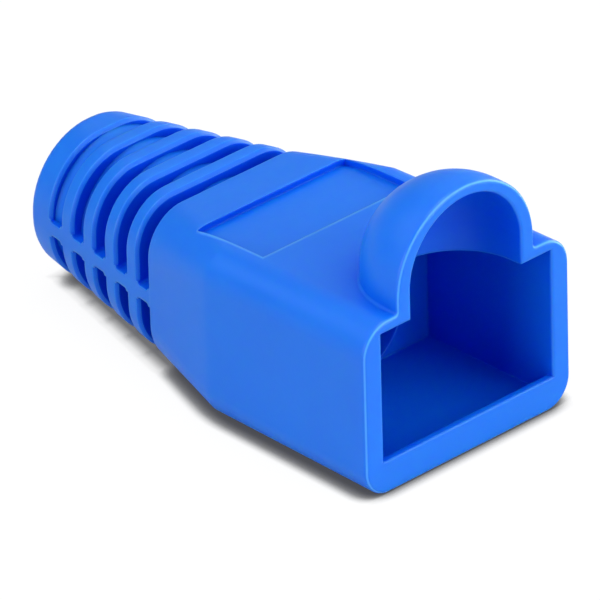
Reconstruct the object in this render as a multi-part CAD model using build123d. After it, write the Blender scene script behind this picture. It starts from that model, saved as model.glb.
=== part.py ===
from build123d import *
from math import cos, pi, sin
import os

# Sizes in millimetres. Stations are distances behind the mouth's front face.

# Plug cavity
CAVITY_WIDTH = 11.8
CAVITY_DRAFT = 0.15
CAVITY_DEPTH = 8.9
FLOOR_THICKNESS = 0.75
SIDE_THICKNESS = 1.225
ROOF_THICKNESS = 0.65
CEILING_FALL = 0.2
SILL_HEIGHT = 1.85
SILL_THICKNESS = 0.55
SILL_ROUNDING = 0.25

# Body outside
MOUTH_HEIGHT = 9.82
BODY_TOP_CORNER = 1.75
BODY_BOTTOM_CORNER = 1.65
LIP_ROUNDING = 0.14
UNDERSIDE_TRIM = 0.02

# Crease where the side walls start to run in towards the cable
CREASE_STATION = 11.65
CREASE_DRAFT = 0.105

# Neck where the body ends and the slotted tail starts
NECK_STATION = 17.3
NECK_WIDTH = 11.6
NECK_TOP_CORNER = 2.45
NECK_BOTTOM_CORNER = 2.95

# Roof: a slight straight fall, then a bend down from this station on
ROOF_FALL_PER_LENGTH = 0.02
ROOF_BEND_STATION = 9.5
ROOF_BEND_RATE = 0.007

# Slotted tail
BORE_DIAMETER = 6.2
BORE_LEAD_IN = 0.3
CORE_WALL = 0.55
TAIL_DIAMETER = 8.27
TAIL_FLAT = 0.17
TAIL_DROP = 0.124
TAIL_RIM_ROUNDING = 0.35
COLLAR_LENGTH = 1.88
GROOVE_COUNT = 5
GROOVE_WIDTH = 0.89
GROOVE_PITCH = 1.97
RIDGE_ROUNDING = 0.18
WEB_HEIGHT = 0.73
WEB_ROUNDING = 0.15

# Funnel from the cavity's back wall to the cable bore
FUNNEL_DIAMETER = 8.5
FUNNEL_WIDTH = 7.65
FUNNEL_STEP = 0.2

# Hood over the plug's latch
HOOD_SHOULDER = 2.375
HOOD_SIDE_WALL = 0.92
HOOD_TOP_WALL = 0.64
HOOD_SPRING_RISE = 0.66
HOOD_CENTRE_STATION = 0.83
HOOD_BASE_FILLET = 0.15

# Recessed label field on the roof
LABEL_WIDTH = 10.3
LABEL_START_STATION = 9.3
LABEL_LENGTH = 4.82
LABEL_DEPTH = 0.37

# Sizes that follow from the ones above
MOUTH_WIDTH = CAVITY_WIDTH + 2 * SIDE_THICKNESS
CREASE_WIDTH = MOUTH_WIDTH - 2 * CREASE_DRAFT
HOOD_RADIUS = MOUTH_WIDTH / 2 - HOOD_SHOULDER
HOOD_SPRING_HEIGHT = MOUTH_HEIGHT + HOOD_SPRING_RISE
COLLAR_STATION = NECK_STATION + (GROOVE_COUNT - 1) * GROOVE_PITCH + GROOVE_WIDTH
LENGTH = COLLAR_STATION + COLLAR_LENGTH


def x_at(station):
    return LENGTH / 2 - station


def blend(start, end, share):
    return start + (end - start) * share


def roof_height(station):
    bend = max(0.0, station - ROOF_BEND_STATION)
    return MOUTH_HEIGHT - ROOF_FALL_PER_LENGTH * station - ROOF_BEND_RATE * bend**2


NECK_HEIGHT = roof_height(NECK_STATION)
AXIS_HEIGHT = NECK_HEIGHT / 2 - TAIL_DROP


def cross_plane(station):
    return Plane(origin=(x_at(station), 0, 0), x_dir=(0, 1, 0), z_dir=(1, 0, 0))


def slab(start, end, width, low, high):
    """Upright block between two stations and two heights."""
    centre = Pos((x_at(start) + x_at(end)) / 2, 0, (low + high) / 2)
    return centre * Box(end - start, width, high - low)


def edge_steps(radius, chords=2):
    """Depth and inset of each section that draws a quarter round as a few chords."""
    angles = [pi / 2 * chord / chords for chord in range(chords + 1)]
    return [(radius * (1 - cos(a)), radius * (1 - sin(a))) for a in angles]


def section(station, width, low, high, low_corner, high_corner, inset):
    """Upright section with rounded corners, drawn in by an inset all round."""
    width -= 2 * inset
    low += inset
    high -= inset
    shape = Pos(0, (low + high) / 2) * Rectangle(width, high - low)
    shape = fillet(shape.vertices().group_by(Axis.Y)[-1], high_corner - inset)
    shape = fillet(shape.vertices().group_by(Axis.Y)[0], low_corner - inset)
    return cross_plane(station) * shape


# Body: a box that narrows at the crease, then shoulders down to the neck


def body_section(station, inset=0.0):
    before = min(station / CREASE_STATION, 1.0)
    after = max(0.0, (station - CREASE_STATION) / (NECK_STATION - CREASE_STATION))
    width = blend(MOUTH_WIDTH, CREASE_WIDTH, before) + (NECK_WIDTH - CREASE_WIDTH) * after
    low_corner = blend(BODY_BOTTOM_CORNER, NECK_BOTTOM_CORNER, after)
    high_corner = blend(BODY_TOP_CORNER, NECK_TOP_CORNER, after)
    high = roof_height(station)
    return section(station, width, -UNDERSIDE_TRIM, high, low_corner, high_corner, inset)


def sleeve():
    middle = [body_section(blend(ROOF_BEND_STATION, CREASE_STATION, s)) for s in (0, 0.5, 1)]
    shoulder = [body_section(blend(CREASE_STATION, NECK_STATION, s)) for s in (0.25, 0.5, 0.75)]
    steps = reversed(edge_steps(RIDGE_ROUNDING, 1))
    rear = [body_section(NECK_STATION - depth, inset) for depth, inset in steps]
    shape = loft([body_section(0)] + middle + shoulder + rear, ruled=True)
    return shape - slab(0, NECK_STATION, MOUTH_WIDTH, -MOUTH_HEIGHT, 0)


# Tail: a thin round core, five rings round it, and a web along each side


def tail_section(station, inset=0.0):
    share = (station - NECK_STATION) / (LENGTH - NECK_STATION)
    width = blend(NECK_WIDTH, TAIL_DIAMETER, share)
    low = blend(0, AXIS_HEIGHT - TAIL_DIAMETER / 2, share)
    high = blend(NECK_HEIGHT, AXIS_HEIGHT + TAIL_DIAMETER / 2, share)
    tail_corner = (TAIL_DIAMETER - TAIL_FLAT) / 2
    low_corner = blend(NECK_BOTTOM_CORNER, tail_corner, share)
    high_corner = blend(NECK_TOP_CORNER, tail_corner, share)
    return section(station, width, low, high, low_corner, high_corner, inset)


def groove_start(number):
    return NECK_STATION + number * GROOVE_PITCH


def ring(start, end, rear_rounding, rear_chords):
    front = [tail_section(start + depth, inset) for depth, inset in edge_steps(RIDGE_ROUNDING, 1)]
    steps = reversed(edge_steps(rear_rounding, rear_chords))
    rear = [tail_section(end - depth, inset) for depth, inset in steps]
    return loft(front + rear, ruled=True)


def rings():
    shape = ring(COLLAR_STATION, LENGTH, TAIL_RIM_ROUNDING, 3)
    for number in range(GROOVE_COUNT - 1):
        start = groove_start(number) + GROOVE_WIDTH
        shape += ring(start, groove_start(number + 1), RIDGE_ROUNDING, 1)
    return shape


def core():
    start = NECK_STATION - GROOVE_WIDTH
    end = COLLAR_STATION + GROOVE_WIDTH
    tube = Cylinder(BORE_DIAMETER / 2 + CORE_WALL, end - start, rotation=(0, 90, 0))
    return Pos((x_at(start) + x_at(end)) / 2, 0, AXIS_HEIGHT) * tube


def webs():
    """Side webs, with the groove ends rounded where they meet a web."""
    start = NECK_STATION - RIDGE_ROUNDING
    end = COLLAR_STATION + GROOVE_WIDTH
    middle = Pos((x_at(start) + x_at(end)) / 2, AXIS_HEIGHT)
    profile = middle * Rectangle(end - start, WEB_HEIGHT + 2 * WEB_ROUNDING)
    rise = (WEB_HEIGHT + GROOVE_WIDTH) / 2
    for number in range(GROOVE_COUNT):
        x = x_at(groove_start(number) + GROOVE_WIDTH / 2)
        for side in (-1, 1):
            notch = RectangleRounded(GROOVE_WIDTH, GROOVE_WIDTH, WEB_ROUNDING)
            profile -= Pos(x, AXIS_HEIGHT + side * rise) * notch
    plate = extrude(Plane.XZ * profile, MOUTH_WIDTH / 2, both=True)
    hull = loft([tail_section(start), tail_section(LENGTH)], ruled=True)
    return hull & plate


# Hood: a ball on an upright post, carried forward to the mouth as an arch


def arch_section(radius, spring, station):
    leg_height = spring - AXIS_HEIGHT
    outline = Pos(0, spring) * Circle(radius)
    outline += Pos(0, AXIS_HEIGHT + leg_height / 2) * Rectangle(2 * radius, leg_height)
    return cross_plane(station) * outline


def dome(radius, spring):
    arch = extrude(arch_section(radius, spring, HOOD_CENTRE_STATION), HOOD_CENTRE_STATION, dir=(1, 0, 0))
    leg_height = spring - AXIS_HEIGHT
    centre = x_at(HOOD_CENTRE_STATION)
    ball = Pos(centre, 0, spring) * Sphere(radius)
    post = Pos(centre, 0, AXIS_HEIGHT + leg_height / 2) * Cylinder(radius, leg_height)
    back_end = HOOD_CENTRE_STATION + 2 * radius
    back = slab(HOOD_CENTRE_STATION, back_end, 3 * radius, 0, spring + 2 * radius)
    return arch + ((ball + post) & back)


def hood_room():
    spring = HOOD_SPRING_HEIGHT + HOOD_SIDE_WALL - HOOD_TOP_WALL
    radius = HOOD_RADIUS - HOOD_SIDE_WALL
    steps = edge_steps(LIP_ROUNDING)
    lip = loft([arch_section(radius + flare, spring, depth) for depth, flare in steps], ruled=True)
    return dome(radius, spring) + lip


def with_hood(shape):
    hood = dome(HOOD_RADIUS, HOOD_SPRING_HEIGHT)
    joined = shape + hood
    base = new_edges(shape, hood, combined=joined)
    base = base.filter_by(lambda edge: edge.center().X < x_at(HOOD_CENTRE_STATION / 4))
    joined = fillet(base, HOOD_BASE_FILLET)
    mouth = joined.faces().sort_by(Axis.X)[-1]
    return chamfer(mouth.outer_wire().edges(), LIP_ROUNDING)


# Hollows


def cavity_section(station, width, high, flare):
    height = high - FLOOR_THICKNESS + flare
    shape = Pos(0, FLOOR_THICKNESS + height / 2) * Rectangle(width + 2 * flare, height)
    return cross_plane(station) * shape


def cavity():
    ceiling = MOUTH_HEIGHT - ROOF_THICKNESS
    sections = [cavity_section(d, CAVITY_WIDTH, ceiling, flare) for d, flare in edge_steps(LIP_ROUNDING)]
    back_width = CAVITY_WIDTH - 2 * CAVITY_DRAFT
    sections.append(cavity_section(CAVITY_DEPTH, back_width, ceiling - CEILING_FALL, 0))
    sill = slab(0, SILL_THICKNESS, MOUTH_WIDTH, 0, SILL_HEIGHT)
    sill_top = sill.edges().filter_by(Axis.Y).group_by(Axis.Z)[-1]
    return loft(sections, ruled=True) - fillet(sill_top.sort_by(Axis.X)[0], SILL_ROUNDING)


def funnel():
    """Cone down to the bore, flattened on four sides."""
    length = NECK_STATION - CAVITY_DEPTH
    middle = Pos((x_at(CAVITY_DEPTH) + x_at(NECK_STATION)) / 2, 0, AXIS_HEIGHT)
    cone = Cone(BORE_DIAMETER / 2, FUNNEL_DIAMETER / 2, length, rotation=(0, 90, 0))
    height = 2 * (AXIS_HEIGHT - FLOOR_THICKNESS - FUNNEL_STEP)
    return middle * (cone & Box(length, FUNNEL_WIDTH, height))


def bore():
    length = LENGTH - NECK_STATION
    hole = Cylinder(BORE_DIAMETER / 2, length, rotation=(0, 90, 0))
    hole = Pos((x_at(NECK_STATION) + x_at(LENGTH)) / 2, 0, AXIS_HEIGHT) * hole
    steps = edge_steps(BORE_LEAD_IN)
    rims = [Pos(0, AXIS_HEIGHT) * Circle(BORE_DIAMETER / 2 + flare) for depth, flare in steps]
    rims = [cross_plane(LENGTH - depth) * rim for (depth, flare), rim in zip(steps, rims)]
    return hole + loft(rims, ruled=True)


def label_recess(outer):
    end = LABEL_START_STATION + LABEL_LENGTH
    field = slab(LABEL_START_STATION, end, LABEL_WIDTH, AXIS_HEIGHT, HOOD_SPRING_HEIGHT)
    return field - Pos(0, 0, -LABEL_DEPTH) * outer


def boot():
    outer = sleeve()
    shape = with_hood(outer)
    shape += core() + rings() + webs()
    shape -= label_recess(outer)
    shape -= cavity() + hood_room()
    shape -= funnel()
    return shape - bore()


os.makedirs("parts", exist_ok=True)
export_step(boot(), "parts/boot.step")
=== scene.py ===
import math

import bmesh
import bpy
from mathutils import Matrix, Vector


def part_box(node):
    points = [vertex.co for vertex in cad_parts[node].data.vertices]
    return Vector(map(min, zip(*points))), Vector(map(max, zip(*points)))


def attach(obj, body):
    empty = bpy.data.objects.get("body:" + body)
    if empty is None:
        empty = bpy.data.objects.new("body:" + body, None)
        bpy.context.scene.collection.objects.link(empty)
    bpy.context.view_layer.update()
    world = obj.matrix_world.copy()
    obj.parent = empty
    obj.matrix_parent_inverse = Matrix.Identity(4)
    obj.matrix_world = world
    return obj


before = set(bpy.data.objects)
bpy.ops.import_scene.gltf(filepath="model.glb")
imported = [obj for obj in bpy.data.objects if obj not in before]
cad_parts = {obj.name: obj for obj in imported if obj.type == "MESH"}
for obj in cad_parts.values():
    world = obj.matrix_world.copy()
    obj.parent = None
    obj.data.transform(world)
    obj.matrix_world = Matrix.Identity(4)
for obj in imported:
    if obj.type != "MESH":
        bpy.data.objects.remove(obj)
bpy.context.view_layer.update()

MM = 0.001
WHITE = (1.0, 1.0, 1.0, 1.0)


def mm(*lengths):
    return tuple(length * MM for length in lengths)


def direction(turn, rise):
    turn, rise = math.radians(turn), math.radians(rise)
    level = math.cos(rise)
    return Vector((math.cos(turn) * level, math.sin(turn) * level, math.sin(rise)))


# Camera: placed so that the middle of the mouth's lower edge falls on MOUTH_PIXEL

VIEW_TURN = 42.732
VIEW_RISE = 29.714
VIEW_ROLL = -1.586
VIEW_DISTANCE_MM = 561.1
PIXELS_PER_MM = 19.958
MOUTH_PIXEL = (469.956, 451.54)
IMAGE_SIZE = 600
SENSOR_MM = 36.0
CLIP_START_MM = 10.0


def view_axes():
    turn, roll = math.radians(VIEW_TURN), math.radians(VIEW_ROLL)
    back = direction(-VIEW_TURN, VIEW_RISE)
    level = Vector((math.sin(turn), math.cos(turn), 0.0))
    upright = back.cross(level)
    right = math.cos(roll) * level + math.sin(roll) * upright
    up = math.cos(roll) * upright - math.sin(roll) * level
    return right, up, back


def add_camera():
    right, up, back = view_axes()
    mouth = Vector((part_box("boot")[1][0], 0.0, 0.0))
    shift_right = (MOUTH_PIXEL[0] - IMAGE_SIZE / 2) / PIXELS_PER_MM
    shift_down = (MOUTH_PIXEL[1] - IMAGE_SIZE / 2) / PIXELS_PER_MM
    place = mouth + (back * VIEW_DISTANCE_MM - right * shift_right + up * shift_down) * MM
    data = bpy.data.cameras.new("view")
    data.sensor_width = SENSOR_MM
    data.lens = SENSOR_MM * PIXELS_PER_MM * VIEW_DISTANCE_MM / IMAGE_SIZE
    data.clip_start = CLIP_START_MM * MM
    camera = bpy.data.objects.new("view", data)
    turn = Matrix((right, up, back)).transposed().to_4x4()
    camera.matrix_world = Matrix.Translation(place) @ turn
    bpy.context.scene.collection.objects.link(camera)
    bpy.context.scene.camera = camera


# Node helpers


def new_material(name):
    material = bpy.data.materials.new(name)
    material.use_nodes = True
    tree = material.node_tree
    tree.nodes.clear()
    return material, tree


def node(tree, kind, inputs=None, **settings):
    made = tree.nodes.new(kind)
    for key, value in settings.items():
        setattr(made, key, value)
    for key, value in (inputs or {}).items():
        if isinstance(value, bpy.types.NodeSocket):
            tree.links.new(value, made.inputs[key])
        else:
            made.inputs[key].default_value = value
    return made


def ramp(tree, fac, stops):
    made = node(tree, "ShaderNodeValToRGB", {"Fac": fac})
    line = made.color_ramp
    line.elements[0].position, line.elements[0].color = stops[0]
    line.elements[1].position, line.elements[1].color = stops[-1]
    for position, color in stops[1:-1]:
        line.elements.new(position).color = color
    return made.outputs["Color"]


def grey_ramp(tree, fac, stops):
    return ramp(tree, fac, [(position, (level, level, level, 1.0)) for position, level in stops])


def remap(tree, value, span, new_span):
    inputs = {"Value": value}
    inputs["From Min"], inputs["From Max"] = span
    inputs["To Min"], inputs["To Max"] = new_span
    return node(tree, "ShaderNodeMapRange", inputs).outputs["Result"]


def math_node(tree, operation, *values):
    inputs = dict(enumerate(values))
    return node(tree, "ShaderNodeMath", inputs, operation=operation).outputs["Value"]


def product(tree, first, *others):
    for other in others:
        first = math_node(tree, "MULTIPLY", first, other)
    return first


def vector_node(tree, operation, first, second):
    made = node(tree, "ShaderNodeVectorMath", {0: first, 1: second}, operation=operation)
    return made.outputs["Value" if operation == "DOT_PRODUCT" else "Vector"]


def separate(tree, vector):
    return node(tree, "ShaderNodeSeparateXYZ", {0: vector}).outputs


def mix(tree, share, first, second):
    inputs = {0: share, 6: first, 7: second}
    return node(tree, "ShaderNodeMix", inputs, data_type="RGBA").outputs[2]


def noise(tree, place, scale, detail, roughness=0.5):
    inputs = {"Vector": place, "Scale": scale, "Detail": detail, "Roughness": roughness}
    return node(tree, "ShaderNodeTexNoise", inputs).outputs["Fac"]


def open_share(tree, reach_mm, samples, only_local=False):
    inputs = {"Distance": reach_mm * MM}
    settings = {"samples": samples, "only_local": only_local}
    return node(tree, "ShaderNodeAmbientOcclusion", inputs, **settings).outputs["AO"]


# Soft PVC: an even moulded blue with a satin skin, with painted shade in enclosed places and
# painted highlight lines

PVC_BLUE = (0.0012, 0.177, 0.81, 1.0)
PVC_BLUE_DEEP = (0.001, 0.164, 0.78, 1.0)
# Painted shade: enclosed places are darkened towards this deep blue
PVC_PAINTED_SHADE = (0.0, 0.008, 0.66, 1.0)
# Painted highlight: the light blue of the lines along edges, round the lip and round the label
PVC_PAINTED_HIGHLIGHT = (0.1, 0.42, 1.0, 1.0)
PVC_SCUFF = (0.05, 0.3, 0.95, 1.0)
PVC_IOR = 1.5

# Each noise is a scale, a detail and at times a roughness
FLOW_NOISE = (160.0, 3.0)
MOTTLE_NOISE = (900.0, 4.0)
GRAIN_NOISE = (5200.0, 3.0, 0.6)
SCUFF_NOISE = (1700.0, 6.0, 0.75)
FLOW_COLOURS = ((0.3, PVC_BLUE_DEEP), (0.7, PVC_BLUE))
SCUFF_PROFILE = ((0.66, 0.0), (0.74, 1.0))
SCUFF_SHARE = 0.25
SCUFF_ROUGHNESS = 0.1
SKIN_ROUGHNESS = ((0.6, 1.4), (0.34, 0.46))
GRAIN_STRENGTH = 0.35
GRAIN_HEIGHT_MM = 0.012

# Light under the skin, and its reach in red, green and blue
GLOW_SHARE = 0.6
GLOW_DEPTH_MM = 1.2
GLOW_REACH = (0.06, 0.25, 1.0)

# Enclosed places: a span of the open share, then what the painted shade, the painted highlight
# lines or the gloss go to
CREVICE_REACH_MM = 8.0
CREVICE_SAMPLES = 8
CREVICE_PAINTED_SHADE = ((0.95, 0.3), (0.0, 0.6))
CREVICE_HIGHLIGHTS = ((0.35, 0.7), (0.1, 1.0))
CREVICE_GLOSS = ((0.95, 0.45), (0.34, 0.05))

# Painted highlight: fine light lines along the edges, which end just behind the lip
EDGE_HIGHLIGHT_MM = 0.1
EDGE_HIGHLIGHT_SAMPLES = 6
EDGE_HIGHLIGHT_SHARES = ((0.99, 0.85), (0.0, 0.4))
EDGE_HIGHLIGHT_END_MM = (-0.3, -0.2)

# Painted highlight: a light line round the mouth's lip, stronger on the outer side; the centre
# is a height
LIP_CENTRE_MM = 6.0
LIP_BAND_MM = (-0.15, 0.0)
LIP_PROFILE = ((0.25, 0.0), (0.5, 1.0), (0.68, 1.0), (0.92, 0.0))
LIP_SIDE_MM = (-0.1, 0.1)
LIP_SIDE_SHARES = (0.2, 0.8)

# Painted highlight: a light line round the label field, on the near side and towards the mouth
LABEL_START_MM = 9.3
LABEL_LENGTH_MM = 4.82
LABEL_WIDTH_MM = 10.3
LABEL_RIM_MM = (-0.02, 0.2)
LABEL_RIM_PROFILE = ((0.0, 0.0), (0.15, 1.0), (0.5, 1.0), (1.0, 0.0))
LABEL_FADE_MM = 0.4
LABEL_HIGHLIGHT_SHARE = 0.5
ROOF_ABOVE_LIP_CENTRE_MM = (2.0, 2.5)

# How round the edges look: more so at the crease of the side walls
EDGE_SOFTNESS_MM = 0.2
EDGE_SOFTNESS_SAMPLES = 8
CREASE_BEHIND_MOUTH_MM = 11.65
CREASE_FADE_MM = (0.98, 1.4)
CREASE_SOFTNESS_MM = 0.9
SIDE_WALL_MM = (6.2, 6.4)


def from_mouth(tree, place):
    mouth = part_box("boot")[1][0]
    return vector_node(tree, "SUBTRACT", place, (mouth, 0.0, LIP_CENTRE_MM * MM))


# Painted highlight: lighter colour where the rounded normal leans away from the flat one
def edge_highlight(tree, depth):
    inputs = {"Radius": EDGE_HIGHLIGHT_MM * MM}
    bevelled_normal = node(tree, "ShaderNodeBevel", inputs, samples=EDGE_HIGHLIGHT_SAMPLES).outputs["Normal"]
    flat = node(tree, "ShaderNodeNewGeometry").outputs["Normal"]
    line = remap(tree, vector_node(tree, "DOT_PRODUCT", bevelled_normal, flat), *EDGE_HIGHLIGHT_SHARES)
    return product(tree, line, remap(tree, depth, mm(*EDGE_HIGHLIGHT_END_MM), (1.0, 0.0)))


def lip_highlight(tree, offset, depth):
    facing = node(tree, "ShaderNodeNewGeometry").outputs["True Normal"]
    flat = vector_node(tree, "MULTIPLY", facing, (0.0, 1.0, 1.0))
    outward = vector_node(tree, "DOT_PRODUCT", flat, offset)
    outer = remap(tree, outward, mm(*LIP_SIDE_MM), LIP_SIDE_SHARES)
    band = remap(tree, depth, mm(*LIP_BAND_MM), (0.0, 1.0))
    return product(tree, grey_ramp(tree, band, LIP_PROFILE), outer)


def label_highlight(tree, offset):
    split = separate(tree, offset)
    half_length, half_width = LABEL_LENGTH_MM / 2, LABEL_WIDTH_MM / 2
    along = math_node(tree, "ADD", split["X"], (LABEL_START_MM + half_length) * MM)
    past_end = math_node(tree, "SUBTRACT", math_node(tree, "ABSOLUTE", along), half_length * MM)
    across = math_node(tree, "ABSOLUTE", split["Y"])
    past_side = math_node(tree, "SUBTRACT", across, half_width * MM)
    out = math_node(tree, "MAXIMUM", past_end, past_side)
    rim = grey_ramp(tree, remap(tree, out, mm(*LABEL_RIM_MM), (0.0, 1.0)), LABEL_RIM_PROFILE)
    mouthward = remap(tree, along, mm(-half_length, LABEL_FADE_MM - half_length), (0.0, 1.0))
    nearward = remap(tree, split["Y"], mm(half_width, half_width - LABEL_FADE_MM), (0.0, 1.0))
    roof = remap(tree, split["Z"], mm(*ROOF_ABOVE_LIP_CENTRE_MM), (0.0, LABEL_HIGHLIGHT_SHARE))
    return product(tree, rim, roof, mouthward, nearward)


def edge_softness(tree, offset):
    split = separate(tree, offset)
    ahead = math_node(tree, "ADD", split["X"], CREASE_BEHIND_MOUTH_MM * MM)
    near = remap(tree, math_node(tree, "ABSOLUTE", ahead), mm(*CREASE_FADE_MM), (1.0, 0.0))
    across = math_node(tree, "ABSOLUTE", split["Y"])
    beside = remap(tree, across, mm(*SIDE_WALL_MM), (0.0, 1.0))
    softness = mm(EDGE_SOFTNESS_MM, CREASE_SOFTNESS_MM)
    return remap(tree, product(tree, near, beside), (0.0, 1.0), softness)


# Painted highlights: edge, lip and label lines, dimmed in enclosed places
def painted_highlights(tree, offset, openness):
    depth = separate(tree, offset)["X"]
    highlight_lines = math_node(tree, "MAXIMUM", edge_highlight(tree, depth), lip_highlight(tree, offset, depth))
    highlight_lines = math_node(tree, "MAXIMUM", highlight_lines, label_highlight(tree, offset))
    return product(tree, highlight_lines, remap(tree, openness, *CREVICE_HIGHLIGHTS))


def pvc_colour(tree, flow, scuffs, openness, highlight_lines):
    body = ramp(tree, flow, FLOW_COLOURS)
    scuffed = mix(tree, product(tree, scuffs, SCUFF_SHARE), body, PVC_SCUFF)
    # Painted shade where the open share is low, then painted highlight lines on top
    shade_painted = mix(tree, remap(tree, openness, *CREVICE_PAINTED_SHADE), scuffed, PVC_PAINTED_SHADE)
    return mix(tree, highlight_lines, shade_painted, PVC_PAINTED_HIGHLIGHT)


def pvc_roughness(tree, flow, mottle, scuffs):
    skin = remap(tree, math_node(tree, "ADD", mottle, flow), *SKIN_ROUGHNESS)
    return math_node(tree, "ADD", skin, product(tree, scuffs, SCUFF_ROUGHNESS))


def pvc_normal(tree, offset, grain):
    inputs = {"Radius": edge_softness(tree, offset)}
    rounded = node(tree, "ShaderNodeBevel", inputs, samples=EDGE_SOFTNESS_SAMPLES)
    return node(tree, "ShaderNodeBump", {
        "Strength": GRAIN_STRENGTH,
        "Distance": GRAIN_HEIGHT_MM * MM,
        "Height": grain,
        "Normal": rounded.outputs["Normal"],
    }).outputs["Normal"]


def soft_pvc(name, shaded_by_itself):
    material, tree = new_material(name)
    place = node(tree, "ShaderNodeTexCoord").outputs["Object"]
    offset = from_mouth(tree, place)
    openness = open_share(tree, CREVICE_REACH_MM, CREVICE_SAMPLES, shaded_by_itself)
    flow = noise(tree, place, *FLOW_NOISE)
    mottle = noise(tree, place, *MOTTLE_NOISE)
    grain = noise(tree, place, *GRAIN_NOISE)
    scuffs = grey_ramp(tree, noise(tree, place, *SCUFF_NOISE), SCUFF_PROFILE)
    highlight_lines = painted_highlights(tree, offset, openness)
    surface = node(tree, "ShaderNodeBsdfPrincipled", {
        "Base Color": pvc_colour(tree, flow, scuffs, openness, highlight_lines),
        "Roughness": pvc_roughness(tree, flow, mottle, scuffs),
        "IOR": PVC_IOR,
        "Subsurface Weight": GLOW_SHARE,
        "Subsurface Radius": GLOW_REACH,
        "Subsurface Scale": GLOW_DEPTH_MM * MM,
        "Specular IOR Level": remap(tree, openness, *CREVICE_GLOSS),
        "Normal": pvc_normal(tree, offset, grain),
    })
    node(tree, "ShaderNodeOutputMaterial", {"Surface": surface.outputs["BSDF"]})
    return material


def dress_boot(material):
    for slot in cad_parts["boot"].material_slots:
        slot.material = material


# Groove floors: an oval tube round the tail's core, which makes the grooves shallower

NECK_MM = 17.3
GROOVE_PITCH_MM = 1.97
GROOVE_WIDTH_MM = 0.89
GROOVE_COUNT = 5
CABLE_AXIS_MM = 4.4
CORE_HALF_WIDTH_MM = 4.1
CORE_HALF_HEIGHT_MM = 3.9
CORE_LIFT_MM = 0.1
CORE_INSIDE_MM = 3.15
CORE_SEAT_MM = 0.2
CORE_SIDES = 96

# How far in from a groove's wall, and how much the tube swells there
FLOOR_FILLET_MM = ((0.0, 0.04), (0.03, 0.02), (0.08, 0.0))


def core_rows():
    rows = [(NECK_MM - CORE_SEAT_MM, 0.0)]
    for number in range(GROOVE_COUNT):
        start = NECK_MM + number * GROOVE_PITCH_MM
        end = start + GROOVE_WIDTH_MM
        rows += [(start + inward, swell) for inward, swell in FLOOR_FILLET_MM]
        rows += [(end - inward, swell) for inward, swell in reversed(FLOOR_FILLET_MM)]
    rows.append((end + CORE_SEAT_MM, 0.0))
    return rows


def oval(mesh, station, half_width, half_height, centre):
    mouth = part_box("boot")[1][0]
    ring = []
    for step in range(CORE_SIDES):
        angle = 2 * math.pi * step / CORE_SIDES
        y, z = half_width * math.cos(angle), centre + half_height * math.sin(angle)
        ring.append(mesh.verts.new((mouth - station * MM, y * MM, z * MM)))
    return ring


def add_core(material):
    mesh = bmesh.new()
    rows = core_rows()
    rings = []
    for station, swell in rows:
        size = (CORE_HALF_WIDTH_MM + swell, CORE_HALF_HEIGHT_MM + swell)
        rings.append(oval(mesh, station, *size, CABLE_AXIS_MM + CORE_LIFT_MM))
    for station in (rows[-1][0], rows[0][0]):
        rings.append(oval(mesh, station, CORE_INSIDE_MM, CORE_INSIDE_MM, CABLE_AXIS_MM))
    for first, second in zip(rings, rings[1:] + rings[:1]):
        for step in range(CORE_SIDES):
            after = (step + 1) % CORE_SIDES
            mesh.faces.new((first[step], first[after], second[after], second[step]))
    bmesh.ops.recalc_face_normals(mesh, faces=mesh.faces)
    data = bpy.data.meshes.new("tail_core")
    mesh.to_mesh(data)
    mesh.free()
    data.polygons.foreach_set("use_smooth", [True] * len(data.polygons))
    data.materials.append(material)
    core = bpy.data.objects.new("tail_core", data)
    bpy.context.scene.collection.objects.link(core)
    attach(core, "root")


# Floor: grey paper to the lamps, white with a painted contact shadow to the eye

FLOOR_SIZE_M = 4.0
FLOOR_WHITE = 1.08
FLOOR_GLOW = 0.88
PAPER_NOISE = (40.0, 3.0)
PAPER_SHADE = ((0.3, 0.52), (0.7, 0.56))
CONTACT_REACH_MM = 1.3
CONTACT_SAMPLES = 16
CONTACT_SHADE = ((0.3, 0.06), (0.53, 0.2), (0.67, 0.68), (0.81, 1.0))

# The painted shadow strip under the tail: half its width at the neck and at the tail's end
TAIL_CONTACT_HALF_MM = (4.6, 1.75)
TAIL_CONTACT_REACH_MM = 1.2
TAIL_RIM_MM = 0.6
TAIL_CONTACT_SHADE = ((0.0, 0.16), (0.33, 0.45), (0.66, 0.84), (1.0, 1.0))

# The share of the white seen by the camera that glossy reflections get
GLOSSY_SHARE = 0.35


def seen_rays(tree):
    rays = node(tree, "ShaderNodeLightPath").outputs
    glossy = product(tree, rays["Is Glossy Ray"], GLOSSY_SHARE)
    direct = math_node(tree, "ADD", rays["Is Camera Ray"], rays["Is Transmission Ray"])
    return math_node(tree, "ADD", glossy, direct)


# Painted shadow: a soft dark strip on the floor under the tail, placed by the tail's plan
def tail_painted_shadow(tree, place):
    tail_end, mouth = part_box("boot")[0][0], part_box("boot")[1][0]
    neck, crease = mouth - NECK_MM * MM, mouth - CREASE_BEHIND_MOUTH_MM * MM
    split = separate(tree, place)
    edge = remap(tree, split["X"], (neck, tail_end), mm(*TAIL_CONTACT_HALF_MM))
    beside = math_node(tree, "SUBTRACT", math_node(tree, "ABSOLUTE", split["Y"]), edge)
    behind = math_node(tree, "SUBTRACT", tail_end + TAIL_RIM_MM * MM, split["X"])
    ahead = math_node(tree, "SUBTRACT", split["X"], crease)
    beyond = math_node(tree, "MAXIMUM", beside, math_node(tree, "MAXIMUM", behind, ahead))
    outward = remap(tree, beyond, mm(0.0, TAIL_CONTACT_REACH_MM), (0.0, 1.0))
    return grey_ramp(tree, outward, TAIL_CONTACT_SHADE)


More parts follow.
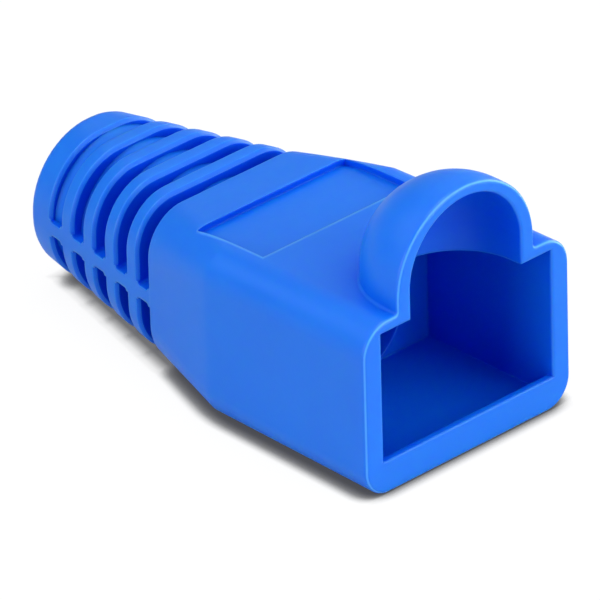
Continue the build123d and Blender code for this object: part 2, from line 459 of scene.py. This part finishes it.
def floor_material():
    material, tree = new_material("floor")
    place = node(tree, "ShaderNodeTexCoord").outputs["Object"]
    paper = grey_ramp(tree, noise(tree, place, *PAPER_NOISE), PAPER_SHADE)
    lit = node(tree, "ShaderNodeBsdfDiffuse", {"Color": paper}).outputs["BSDF"]
    openness = open_share(tree, CONTACT_REACH_MM, CONTACT_SAMPLES)
    # Painted shadow: the seen white is darkened near the boot by ambient occlusion and under the
    # tail by the strip
    around = grey_ramp(tree, openness, CONTACT_SHADE)
    painted_shadow = math_node(tree, "MINIMUM", around, tail_painted_shadow(tree, place))
    inputs = {"Color": painted_shadow, "Strength": FLOOR_WHITE}
    white = node(tree, "ShaderNodeEmission", inputs).outputs["Emission"]
    seen = product(tree, seen_rays(tree), FLOOR_GLOW)
    surface = node(tree, "ShaderNodeMixShader", {0: seen, 1: lit, 2: white})
    node(tree, "ShaderNodeOutputMaterial", {"Surface": surface.outputs["Shader"]})
    return material


def add_floor():
    bpy.ops.mesh.primitive_plane_add(size=FLOOR_SIZE_M, location=(0, 0, 0))
    floor = bpy.context.active_object
    floor.name = "floor"
    floor.data.materials.append(floor_material())


# Studio: a name, a turn and a rise in degrees, and a power in watts for each soft lamp

SOFTBOX_DISTANCE_M = 0.3
SOFTBOX_SIZE_M = 0.2
SOFTBOXES = (
    ("top_box", 0, 90, 0.50),
    ("far_box", 90, 12, 0.56),
    ("near_box", 270, 12, 0.62),
    ("mouth_far_box", 30, 12, 0.56),
    ("mouth_low_box", 5, 12, 0.32),
    ("mouth_box", 0, 45, 0.10),
    ("far_corner_box", 45, 45, 0.12),
    ("tail_far_box", 135, 45, 0.05),
    ("tail_near_box", 225, 45, 0.14),
)


def add_softbox(name, turn, rise, power):
    data = bpy.data.lights.new(name, "AREA")
    data.shape = "RECTANGLE"
    data.size = data.size_y = SOFTBOX_SIZE_M
    data.energy = power
    lamp = bpy.data.objects.new(name, data)
    towards = direction(turn, rise).normalized()
    lamp.location = towards * SOFTBOX_DISTANCE_M
    lamp.rotation_euler = towards.to_track_quat("Z", "Y").to_euler()
    bpy.context.scene.collection.objects.link(lamp)


def add_world():
    world = bpy.data.worlds.new("studio")
    world.use_nodes = True
    tree = world.node_tree
    tree.nodes.clear()
    sky = node(tree, "ShaderNodeBackground", {"Color": WHITE, "Strength": seen_rays(tree)})
    node(tree, "ShaderNodeOutputWorld", {"Surface": sky.outputs["Background"]})
    bpy.context.scene.world = world


add_camera()
dress_boot(soft_pvc("soft_pvc", True))
add_core(soft_pvc("soft_pvc_core", False))
add_floor()
for softbox in SOFTBOXES:
    add_softbox(*softbox)
add_world()
bpy.context.scene.view_settings.view_transform = "Standard"
